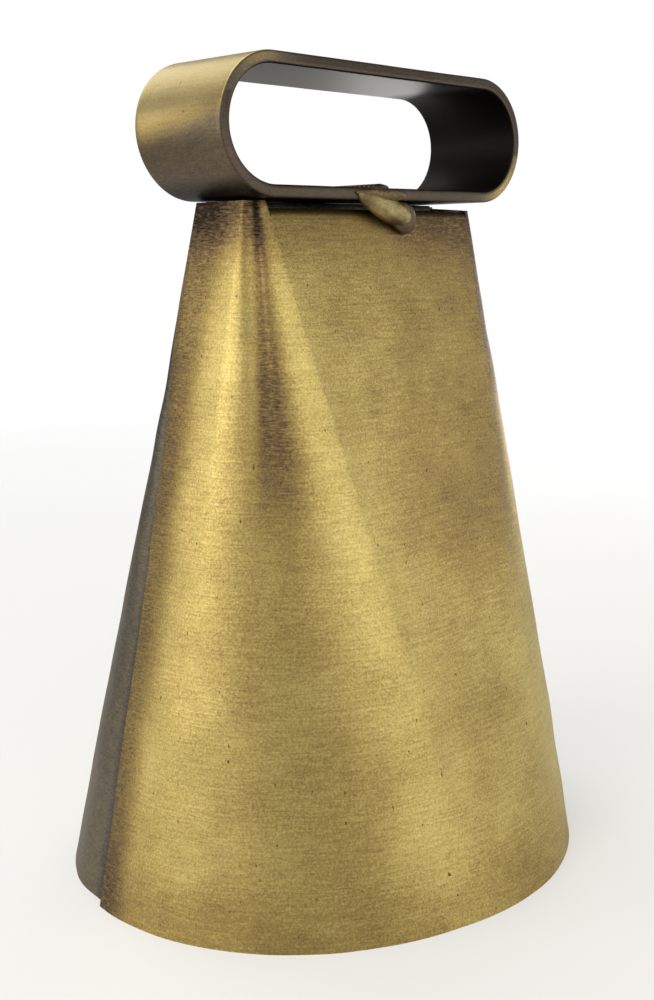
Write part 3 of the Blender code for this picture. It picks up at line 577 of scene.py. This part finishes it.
# The edge face is dark finish, lighter low at the right end; the lighter patch at its top left is a painted
# highlight.
edge_skin = (0.78 + 0.10 * smooth_step(level, 0.2, 0.8) - 0.34 * hump(sideways, 0.86, 0.14) * (level < 0.4)
             - 0.26 * hump(sideways, -0.78, 0.16) * (level > 0.7))
skin = skin * (1 - on_edge) + edge_skin * on_edge
under_top = smooth_step(level, 0.80, 0.90) * (1.0 - smooth_step(sideways, 0.50, 0.78))
inner_flat = section[None, :, 1] > 0.999 * STRAP_THICKNESS
skin = skin * (1 - inside) + (0.92 - 0.72 * under_top * inner_flat) * inside
# The last two points are the middles of the strap's cut ends.
store(strap, used, "tarnish_and_painted_light", np.concatenate([skin.ravel(), [0.9, 0.9]]))
strap.data.materials.append(antique_brass("antique_brass_strap", STRAP_STOPS, (0.00045, 0.0060, 0.00045),
                                          roughness=0.36, grit=0.4, pits=0.8, strokes=0.12, mottle=0.55))
strap.data.materials.append(antique_brass("blackened_steel", BLACK_STOPS, (0.00060, 0.0060, 0.00060),
                                          roughness=0.40, grit=0.2, pits=0.3, strokes=0.0, mottle=0.20))
face_depth = (section[faces[:, 0] % len(section), 1] + section[faces[:, 1] % len(section), 1]) / 2
blackened = face_depth > STRAP_THICKNESS - 0.8 * STRAP_EDGE
strap.data.polygons.foreach_set("material_index", blackened.astype(np.int32))
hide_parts("handle_strap")

# --- Weld beads on the handle ------------------------------------------------------------------
# A short slanting bead at the front and one at the back, run by hand with a rod from the strap's
# edge down onto the crown, and a low one over the butt joint of the strap. Weld metal freezes in
# small ripples with a smooth, rounded toe, and takes the same plate as the sheet.
# A bead's two ends and its lip's start, each by how far it lies along the strap's lower edge from
# the middle, out from the edge and up from it, and how far the lip runs along and down.
BEAD_START = (0.0100, 0.0002, 0.0011)
BEAD_END = (-0.0090, -0.0012, -0.0044)
LIP_START = (0.0108, 0.0001, 0.0015)
LIP_RUN = (0.0165, 0.0006)
# Half width and half depth of a bead's body, of the toe at its lower end, of the thin lip along the
# strap's edge, and of the bead over the butt joint.
BEAD_BODY = (0.0027, 0.0013)
BEAD_TOE = (0.0033, 0.0009)
BEAD_LIP = (0.0013, 0.0007)
BUTT_HALF = (0.0023, 0.0009)
BEAD_STOPS = ((0.00, "E6DCB0"), (0.28, "C6B880"), (0.50, "9C8C5C"), (0.72, "655340"), (1.00, "2A2320"))


def blob(start, end, sideways, outward, half_width, half_depth, ripple, seed, rings=90, sides=48, sunk=1.0):
    """A bead from start to end: an ellipse carried along a line, its size 1.3 s^0.42 (1 - s^4)^0.5
    for a share s of the way, so slimmer at the start and blunt at the end, with crescent ripples
    along it. Its back is as deep as its front times sunk."""
    share = np.linspace(0.002, 0.998, rings)[:, None]
    turn = full_turn(sides)[None, :]
    swell = 1.30 * share ** 0.42 * np.sqrt(1.0 - share ** 4)
    crescent = np.sin(2 * math.pi * (share * 11.0 + 0.9 * np.cos(turn) ** 2)) * ripple
    size = swell * (1.0 + crescent * (1 - smooth_step(share, 0.55, 0.95)))
    line = start + (end - start) * share[..., None]
    deep = np.where(np.sin(turn) < 0.0, sunk, 1.0) * half_depth
    points = (line + sideways * (np.cos(turn) * size * half_width)[..., None]
              + outward * (np.sin(turn) * size * deep)[..., None])
    points += outward * (0.00008 * waves(points, 0.0030, seed))[..., None] * size[..., None] ** 0.5
    return sweep(points)


def facing_out(points, faces):
    """Turns every face round if the closed surface's signed volume comes out negative."""
    a, b, c, d = (points[faces[:, k]] for k in range(4))
    volume = (np.cross(b - a, c - a) * a).sum() + (np.cross(c - a, d - a) * a).sum()
    return faces if volume > 0 else faces[:, ::-1]


def joined(*shapes):
    """Points and faces of several closed surfaces together, each one facing out."""
    firsts = np.cumsum([0] + [len(points) for points, _ in shapes[:-1]])
    faces = [facing_out(*shape) + first for shape, first in zip(shapes, firsts)]
    return np.concatenate([points for points, _ in shapes]), np.concatenate(faces)


bead_finish = antique_brass("plated_weld_metal", BEAD_STOPS, (0.002, 0.002, 0.0006), roughness=0.36,
                            grit=0.5, pits=0.4, strokes=0.1, mottle=0.6)
for name, node, facing, seed in (("front_bead", "handle_front_weld", -1.0, 21),
                                 ("rear_bead", "handle_rear_weld", 1.0, 22)):
    edge_middle = np.array([HANDLE[0], HANDLE[1] + facing * half_width, STRAP_BOTTOM])
    sense = np.array([facing, facing, 1.0])
    start, end, lip_start = (edge_middle + sense * np.array(v) for v in (BEAD_START, BEAD_END, LIP_START))
    slope = (end - start) / np.linalg.norm(end - start)
    outward = np.array([0.0, facing, 0.0])
    outward -= slope * (outward @ slope)
    outward /= np.linalg.norm(outward)
    sideways = np.cross(outward, slope)
    body = blob(start, end, sideways, outward, *BEAD_BODY, 0.008, seed, sunk=2.1)
    toe = blob(end - slope * 0.0092, end + slope * 0.0013, sideways, outward, *BEAD_TOE, 0.0, seed + 5,
               rings=60, sunk=2.8)
    lip_end = lip_start - np.array([facing * LIP_RUN[0], 0.0, LIP_RUN[1]])
    lip = blob(lip_start, lip_end, sideways, outward, *BEAD_LIP, 0.02, seed + 9, rings=60)
    bead, used = add_mesh(name, *joined(body, toe, lip), "bell")
    from_start = body[0] - start
    along = from_start @ slope / np.linalg.norm(end - start)
    below = -(from_start @ sideways)
    dark = 0.46 + 0.40 * hump(along, 0.72, 0.22) * smooth_step(below, 0.0008, 0.0022)
    dark = dark + 0.20 * hump(along, 0.10, 0.14)
    store(bead, used, "tarnish_and_painted_light", np.concatenate([dark, np.full(len(toe[0]), 0.70),
                                                 np.full(len(lip[0]), 0.66)]))
    bead.data.materials.append(bead_finish)
    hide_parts(node)

butt_share = np.linspace(0.0, 1.0, 120)[:, None]
butt_turn = np.radians(np.linspace(0.0, 360.0, 24, endpoint=False))[None, :]
butt_size = np.clip(np.sin(math.pi * (0.02 + 0.96 * butt_share)) * 4.0, 0.0, 1.0) ** 0.5
butt_ripple = 1.0 + 0.07 * np.sin(2 * math.pi * (butt_share * 17.0 + 0.5 * np.cos(butt_turn) ** 2))
butt_points = np.stack([
    HANDLE[0] + BUTT_HALF[0] * butt_size * butt_ripple * np.cos(butt_turn),
    HANDLE[1] + (butt_share - 0.5) * (STRAP_WIDTH - 0.0022) + 0 * butt_turn,
    STRAP_BOTTOM + STRAP_THICKNESS + 0.0001 + BUTT_HALF[1] * butt_size * butt_ripple * np.sin(butt_turn)
], axis=-1)
points, faces = sweep(butt_points)
closing, used = add_mesh("closing_bead", points, facing_out(points, faces), "bell")
store(closing, used, "tarnish_and_painted_light", np.full(len(points), 0.78))
closing.data.materials.append(bead_finish)
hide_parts("handle_closing_weld")

# --- Brazed tacks inside the laps --------------------------------------------------------------
# Three dabs of braze on each side, melted into the corner between the rear shell's edge and the
# inside of the front shell. They hold the halves together, and are darker than the plate.
TACK_HEIGHTS = (0.024, 0.070, 0.116)
TACK_HALF_LENGTH = 0.0047
TACK_HALF = (0.0029, 0.0021)
BRAZE_STOPS = ((0.00, "E8C07A"), (0.28, "C99A58"), (0.50, "9C7442"), (0.72, "65492F"), (1.00, "2C2420"))
braze_finish = antique_brass("run_braze", BRAZE_STOPS, (0.002, 0.002, 0.0008), roughness=0.38, grit=0.6,
                             pits=0.3)
for label, edge_angle in (("left", 180.0 - SIDE_FAN + LAP_ANGLE), ("right", SIDE_FAN - LAP_ANGLE)):
    for number, height in enumerate(TACK_HEIGHTS, start=1):
        edge, up_to, zero = np.array([[edge_angle]]), np.array([[height]]), np.array([[0.0]])
        seat = (wall(edge, up_to, zero) + level_step(edge, up_to, zero, SHEET + GAP))[0, 0]
        above = (wall(edge, up_to + SHEET, zero) - wall(edge, up_to, zero))[0, 0]
        along = above / np.linalg.norm(above)
        inward = level_step(edge, up_to, zero, 1.0)[0, 0]
        side = np.cross(inward, along)
        side /= np.linalg.norm(side)
        inward = np.cross(along, side)
        reach = along * TACK_HALF_LENGTH
        points, faces = blob(seat - reach, seat + reach, side, inward, *TACK_HALF, 0.035, 40 + number,
                             rings=40, sides=32, sunk=0.2)
        tack, used = add_mesh(f"tack_{label}_{number}", points, facing_out(points, faces), "bell")
        store(tack, used, "tarnish_and_painted_light", 0.55 + 0.2 * waves(points, 0.004, 50 + number))
        tack.data.materials.append(braze_finish)
        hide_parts(f"seam_tack_{label}_{number}")

# --- Staple and its braze collars --------------------------------------------------------------
# A U of 3 mm steel wire, bent cold, its legs brazed to the underside of the crown. The clapper's
# link hangs on its bottom run.
STAPLE_RADIUS = 0.0015
STAPLE_HALF_SPAN = 0.0060
STAPLE_BEND = 0.0030
STAPLE_TOP = HEIGHT - SHEET - GAP
STAPLE_Z = STAPLE_TOP - 0.0140
COLLAR_RADIUS = STAPLE_RADIUS + 0.0009
COLLAR_HALF = (0.0008, 0.0010)
COLLAR_Z = STAPLE_TOP - 0.0011
WIRE_STOPS = ((0.00, "A59B88"), (0.28, "7F7566"), (0.50, "5F564A"), (0.72, "463D34"), (1.00, "2A2522"))
wire_finish = antique_brass("drawn_steel_wire", WIRE_STOPS, (0.0005, 0.0005, 0.004), roughness=0.36,
                            grit=0.3, pits=0.4)


def arc(centre, radius, first, last, step=5.0):
    """Points of an arc in a plane, angles in degrees, both ends included."""
    turn = np.radians(np.linspace(first, last, max(2, int(abs(last - first) / step) + 1)))
    return np.stack([centre[0] + radius * np.cos(turn), centre[1] + radius * np.sin(turn)], axis=-1)


def refined(line, step=0.0008):
    """The same line with points no further apart than the step."""
    pieces = [np.linspace(a, b, max(2, math.ceil(np.linalg.norm(b - a) / step) + 1))[:-1]
              for a, b in zip(line, line[1:])]
    return np.concatenate(pieces + [line[-1:]])


def wire(line, radius, normal, closed, seed, sides=28):
    """Round wire: a circle carried square to a line that lies in the plane of the given normal,
    its radius wavering by a hundredth of a millimetre or two."""
    if closed:
        ahead, behind = np.roll(line, -1, axis=0), np.roll(line, 1, axis=0)
    else:
        ahead, behind = np.vstack([line[1:], line[-1:]]), np.vstack([line[:1], line[:-1]])
    tangent = ahead - behind
    tangent /= np.linalg.norm(tangent, axis=1, keepdims=True)
    side = np.cross(tangent, normal)
    turn = full_turn(sides)
    ring = (line[:, None] + radius * (np.cos(turn)[None, :, None] * normal
                                      + np.sin(turn)[None, :, None] * side[:, None]))
    ring += (0.000018 * waves(ring, 0.006, seed))[..., None] * (ring - line[:, None]) / radius
    points, faces = sweep(ring, closed)
    return points, facing_out(points, faces)


def finish_wire(piece, used, points, node, seed):
    """Dark drawn wire: its tarnish drifts along it, it takes the wire's finish, and its node from model.glb
    is hidden.
    """
    store(piece, used, "tarnish_and_painted_light", 0.55 + 0.22 * waves(points, 0.012, seed))
    piece.data.materials.append(wire_finish)
    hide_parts(node)


flat = np.concatenate([[[-STAPLE_HALF_SPAN, STAPLE_TOP]],
                       arc((-STAPLE_HALF_SPAN + STAPLE_BEND, STAPLE_Z + STAPLE_BEND), STAPLE_BEND, 180, 270),
                       arc((STAPLE_HALF_SPAN - STAPLE_BEND, STAPLE_Z + STAPLE_BEND), STAPLE_BEND, 270, 360),
                       [[STAPLE_HALF_SPAN, STAPLE_TOP]]])
line = refined(np.stack([CROWN_SHIFT[0] + flat[:, 0], 0 * flat[:, 0] + CROWN_SHIFT[1], flat[:, 1]], axis=-1))
points, faces = wire(line, STAPLE_RADIUS, np.array([0.0, 1.0, 0.0]), False, 61)
staple, used = add_mesh("staple", points, faces, "bell")
finish_wire(staple, used, points, "clapper_staple", 62)

for label, side in (("left", -1.0), ("right", 1.0)):
    turn, round_section = full_turn(56)[:, None], full_turn(24)[None, :]
    ring_radius = COLLAR_RADIUS + COLLAR_HALF[0] * np.cos(round_section)
    centre_x = CROWN_SHIFT[0] + side * STAPLE_HALF_SPAN
    collar_points = np.stack([centre_x + ring_radius * np.cos(turn),
                              CROWN_SHIFT[1] + ring_radius * np.sin(turn),
                              COLLAR_Z + COLLAR_HALF[1] * np.sin(round_section) + 0 * turn], axis=-1)
    collar_points[..., :2] += 0.00012 * waves(collar_points, 0.003, 63)[..., None] * np.concatenate(
        [np.cos(turn), np.sin(turn)], axis=1)[:, None, :]
    points, faces = sweep(collar_points, True)
    collar, used = add_mesh(f"collar_{label}", points, facing_out(points, faces), "bell")
    store(collar, used, "tarnish_and_painted_light", 0.6 + 0.2 * waves(points, 0.003, 64))
    collar.data.materials.append(braze_finish)
    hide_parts(f"staple_braze_{label}")

# --- Link --------------------------------------------------------------------------------------
# A closed oval of 2.5 mm steel wire that hangs on the staple and lets the clapper swing.
LINK_RADIUS = 0.00125
LINK_BOW = 0.00525
LINK_OPENING = 0.0130
LINK_TOP_Z = STAPLE_Z + STAPLE_RADIUS + GAP + LINK_RADIUS
LINK_BOTTOM_Z = LINK_TOP_Z - LINK_OPENING - 2 * LINK_RADIUS
flat = np.concatenate([arc((0.0, LINK_TOP_Z - LINK_BOW), LINK_BOW, 0, 180),
                       arc((0.0, LINK_BOTTOM_Z + LINK_BOW), LINK_BOW, 180, 360)])
flat = refined(np.concatenate([flat, flat[:1]]))[:-1]
line = np.stack([0 * flat[:, 0] + CROWN_SHIFT[0], CROWN_SHIFT[1] + flat[:, 0], flat[:, 1]], axis=-1)
points, faces = wire(line, LINK_RADIUS, np.array([1.0, 0.0, 0.0]), True, 71)
link, used = add_mesh("link", points, faces, "link")
finish_wire(link, used, points, "clapper_link", 72)

# --- Clapper -----------------------------------------------------------------------------------
# A rod of 3.5 mm wire with an eye bent at its top, and a cast iron ball bored for the rod and held
# by the rod's foot, which is hammered out to a head under it.
ROD_RADIUS = 0.00175
EYE_HOLE_RADIUS = 0.0035
EYE_RING = EYE_HOLE_RADIUS + ROD_RADIUS
EYE_NECK = 0.0040
EYE_WRAP = 325
BALL_RADIUS = 0.0110
BALL_Z = 0.0225
BALL_FLAT = 0.0042
PEEN_RADIUS = 0.0030
PEEN_HEIGHT = 0.0018
eye_z = LINK_BOTTOM_Z + LINK_RADIUS + GAP + ROD_RADIUS - EYE_RING
eye_reach = EYE_RING + EYE_NECK
neck_z = eye_z - math.sqrt(eye_reach ** 2 - EYE_NECK ** 2)
join = math.degrees(math.asin(EYE_NECK / eye_reach))
ball_foot = BALL_Z - math.sqrt(BALL_RADIUS ** 2 - BALL_FLAT ** 2)
foot_z = ball_foot - GAP - PEEN_HEIGHT
flat = np.concatenate([[[0.0, foot_z + 0.0004]],
                       arc((EYE_NECK, neck_z), EYE_NECK, 180, 90 + join),
                       arc((0.0, eye_z), EYE_RING, -90 + join, -90 + EYE_WRAP)[1:]])
line = refined(np.stack([CROWN_SHIFT[0] + flat[:, 0], 0 * flat[:, 0] + CROWN_SHIFT[1], flat[:, 1]], axis=-1))
shank = wire(line, ROD_RADIUS, np.array([0.0, 1.0, 0.0]), False, 81)


def turned(profile, sides):
    """An outline of radius and height carried once round the clapper's upright line."""
    turn = full_turn(sides)[:, None]
    radius, height = profile[None, :, 0], profile[None, :, 1]
    return np.stack([CROWN_SHIFT[0] + radius * np.cos(turn), CROWN_SHIFT[1] + radius * np.sin(turn),
                     height + 0 * turn], axis=-1)


dome = np.radians(np.linspace(-88.0, 30.0, 14))
head_low = np.stack([PEEN_RADIUS * np.cos(dome), foot_z + 0.0008 + 0.0010 * np.sin(dome)], axis=-1)
head_z = foot_z + PEEN_HEIGHT
head_top = np.array([[PEEN_RADIUS * 0.97, head_z - 0.0002], [PEEN_RADIUS * 0.90, head_z], [0.0001, head_z]])
head_rings = turned(np.concatenate([head_low, head_top]), 36)
flats = 1.0 + 0.04 * waves(head_rings, 0.003, 82)
head_rings[..., :2] = (head_rings[..., :2] - CROWN_SHIFT) * flats[..., None] + CROWN_SHIFT
points, faces = joined(shank, sweep(head_rings.transpose(1, 0, 2)))
rod, used = add_mesh("rod", points, faces, "clapper")
finish_wire(rod, used, points, "clapper_rod", 83)

flat_angle = math.degrees(math.asin(BALL_FLAT / BALL_RADIUS))
outline = arc((0.0, BALL_Z), BALL_RADIUS, -90 + flat_angle, 90 - flat_angle, step=2.5)
bore = ROD_RADIUS + GAP
hole = refined(np.array([outline[-1], [bore, outline[-1, 1]], [bore, outline[0, 1]], outline[0]]),
               step=0.0012)
ball_rings = turned(np.concatenate([outline, hole[1:-1]]), 112)
ball_centre = np.array([*CROWN_SHIFT, BALL_Z])
beyond = np.linalg.norm(ball_rings - ball_centre, axis=-1)
skin_share = smooth_step(beyond, 0.0098, 0.0108)[..., None]
pocks = 0.00006 * waves(ball_rings, 0.0028, 84, 24) + 0.00010 * waves(ball_rings, 0.009, 85)
# The parting line where the two halves of the mould met.
pocks = pocks + 0.00016 * hump(ball_rings[..., 2], BALL_Z, 0.0004)
ball_rings = ball_rings + (ball_rings - ball_centre) / beyond[..., None] * skin_share * pocks[..., None]
points, faces = sweep(ball_rings, True)
ball, used = add_mesh("ball", points, facing_out(points, faces), "clapper")
IRON_STOPS = ((0.00, "8A8074"), (0.28, "6A6156"), (0.50, "4F473F"), (0.72, "38312C"), (1.00, "1F1B19"))
store(ball, used, "tarnish_and_painted_light", 0.55 + 0.25 * waves(points, 0.010, 86))
ball.data.materials.append(antique_brass("cast_iron", IRON_STOPS, (0.0012, 0.0012, 0.0012), roughness=0.50,
                                         grit=1.6, pits=0.8))
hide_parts("clapper_ball")

# --- Floor, light and camera -------------------------------------------------------------------
# A plain pale floor that fades into the white surround, and soft light from large panels round and
# over the bell, as in a light tent. The surround is white to look at but lights the bell only dimly.
FLOOR_RADIUS = 1.6
FLOOR_DROP = 0.00002
FLOOR_FADE = (0.12, 0.9)
DIM_LIGHT = 0.19
ring_turn = full_turn(96)
radii = np.array([0.02, 0.2, 0.5, 1.0, FLOOR_RADIUS])[:, None]
floor_points = np.stack([radii * np.cos(ring_turn), radii * np.sin(ring_turn),
                         0 * radii + 0 * ring_turn - FLOOR_DROP], axis=-1)
number = np.arange(floor_points[..., 0].size).reshape(floor_points.shape[:2])
quads = np.stack([number[:-1], number[1:], np.roll(number[1:], -1, axis=1), np.roll(number[:-1], -1, axis=1)],
                 axis=-1).reshape(-1, 4).tolist()
floor_mesh = bpy.data.meshes.new("floor")
floor_mesh.from_pydata(floor_points.reshape(-1, 3).tolist(), [], quads + [number[0].tolist()])
floor = bpy.data.objects.new("floor", floor_mesh)
bpy.context.scene.collection.objects.link(floor)
paper = bpy.data.materials.new("pale_paper")
paper.use_nodes = True
tree = paper.node_tree
shader = tree.nodes["Principled BSDF"]
shader.inputs["Base Color"].default_value = linear("F4F3F0")
shader.inputs["Roughness"].default_value = 0.85
place = add_node(tree, "ShaderNodeTexCoord").outputs["Object"]
away = add_node(tree, "ShaderNodeVectorMath", {0: place}, operation="LENGTH").outputs["Value"]
fade = add_node(tree, "ShaderNodeMapRange", {"Value": away, "From Min": FLOOR_FADE[0],
                                             "From Max": FLOOR_FADE[1], "To Min": 0.35},
                interpolation_type="SMOOTHSTEP")
clear = add_node(tree, "ShaderNodeBsdfTransparent").outputs["BSDF"]
both = add_node(tree, "ShaderNodeMixShader", {"Fac": fade.outputs["Result"], 1: shader.outputs["BSDF"],
                                              2: clear})
tree.links.new(both.outputs["Shader"], tree.nodes["Material Output"].inputs["Surface"])
floor_mesh.materials.append(paper)

world = bpy.data.worlds.new("pale_surround")
bpy.context.scene.world = world
world.use_nodes = True
tree = world.node_tree
surround = tree.nodes["Background"]
surround.inputs["Color"].default_value = linear("FFFFFF")
surround.inputs["Strength"].default_value = 1.0
dim = add_node(tree, "ShaderNodeBackground", {"Color": linear("F4F3F0"), "Strength": DIM_LIGHT})
path = add_node(tree, "ShaderNodeLightPath")
chosen = add_node(tree, "ShaderNodeMixShader", {"Fac": path.outputs["Is Camera Ray"],
                                                1: dim.outputs["Background"],
                                                2: surround.outputs["Background"]})
tree.links.new(chosen.outputs["Shader"], tree.nodes["World Output"].inputs["Surface"])


def panel(name, bearing, height_angle, distance, size, power, colour):
    """A soft light panel aimed at the bell from a bearing round it and an angle above the floor."""
    light = bpy.data.lights.new(name, "AREA")
    light.shape, light.size, light.size_y = "RECTANGLE", size[0], size[1]
    light.energy, light.color = power, linear(colour)[:3]
    lamp = bpy.data.objects.new(name, light)
    a, e = math.radians(bearing), math.radians(height_angle)
    aim = Vector((0.0, 0.0, 0.08))
    away = Vector((math.cos(a) * math.cos(e), math.sin(a) * math.cos(e), math.sin(e)))
    lamp.location = aim + away * distance
    lamp.rotation_mode = "QUATERNION"
    lamp.rotation_quaternion = away.to_track_quat("Z", "Y")
    lamp.visible_camera = False
    bpy.context.scene.collection.objects.link(lamp)


panel("left_panel", 155.0, 12.0, 0.75, (0.50, 0.42), 1.7, "FFFDF6")
panel("side_panel", 190.0, 15.0, 0.75, (0.26, 0.40), 0.7, "FFFDF6")
panel("upper_left_panel", 185.0, 48.0, 0.75, (0.45, 0.45), 1.4, "FFFDF6")
panel("right_panel", 284.0, 13.0, 0.75, (0.62, 0.45), 1.35, "FFFDF6")
panel("front_panel", 246.0, 24.0, 0.75, (0.45, 0.45), 0.8, "FFFDF6")
panel("far_right_panel", 335.0, 9.0, 0.75, (0.60, 0.42), 0.65, "FFFFFF")
panel("far_panel", 22.0, 10.0, 0.85, (0.60, 0.50), 2.6, "FFFFFF")
panel("back_panel", 85.0, 30.0, 0.85, (0.60, 0.60), 1.4, "FFFFFF")
panel("top_panel", 100.0, 80.0, 0.85, (0.60, 0.60), 2.6, "FFFFFF")

CAMERA_PLACE = (-0.21754, -0.20374, 0.13546)
CAMERA_TURN = math.radians(47.19)
CAMERA_DIP = math.radians(10.62)
CAMERA_ROLL = math.radians(-0.93)
CAMERA_LENS = 47.87
SENSOR_WIDTH = 36.0
camera = bpy.data.objects.new("camera", bpy.data.cameras.new("camera"))
camera.data.lens = CAMERA_LENS
camera.data.sensor_width = SENSOR_WIDTH
camera.data.clip_start = 0.01
ahead = np.array([math.sin(CAMERA_TURN) * math.cos(CAMERA_DIP),
                  math.cos(CAMERA_TURN) * math.cos(CAMERA_DIP), -math.sin(CAMERA_DIP)])
right = np.cross(ahead, (0.0, 0.0, 1.0))
right /= np.linalg.norm(right)
up = np.cross(right, ahead)
level_right = math.cos(CAMERA_ROLL) * right + math.sin(CAMERA_ROLL) * up
level_up = -math.sin(CAMERA_ROLL) * right + math.cos(CAMERA_ROLL) * up
turned_to = np.eye(4)
turned_to[:3] = np.stack([level_right, level_up, -ahead, CAMERA_PLACE], axis=1)
camera.matrix_world = Matrix(turned_to.tolist())
bpy.context.scene.collection.objects.link(camera)
bpy.context.scene.camera = camera
bpy.context.scene.view_settings.view_transform = "Standard"
